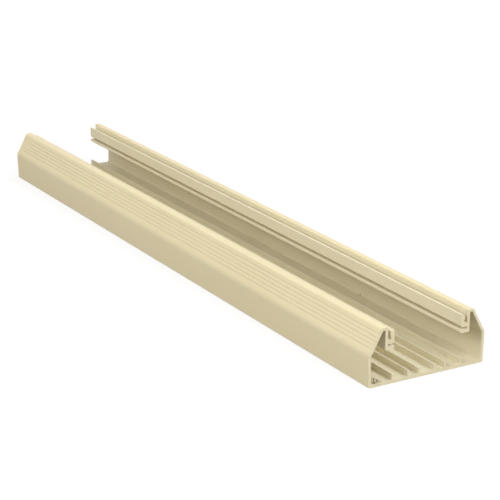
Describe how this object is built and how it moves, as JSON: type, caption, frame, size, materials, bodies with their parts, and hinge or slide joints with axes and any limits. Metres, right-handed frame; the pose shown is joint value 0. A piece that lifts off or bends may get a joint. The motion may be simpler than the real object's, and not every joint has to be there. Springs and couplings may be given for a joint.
{
  "type": "surface raceway base",
  "caption": "Open extruded plastic channel with floor ribs, grooved shoulders and hooked rails that a clip-on cover fits, for running cords along a wall or floor.",
  "frame": {"origin": "middle of the underside, halfway along the length", "axes": "+X across the channel, +Y along its length, +Z from the mounting face to the open mouth"},
  "size_m": [0.1014, 0.61, 0.0434],
  "materials": {
    "ivory_pvc": "satin extruded surface, ivory"
  },
  "bodies": {
    "root": {"raceway_base": "ivory_pvc"}
  },
  "joints": []
}
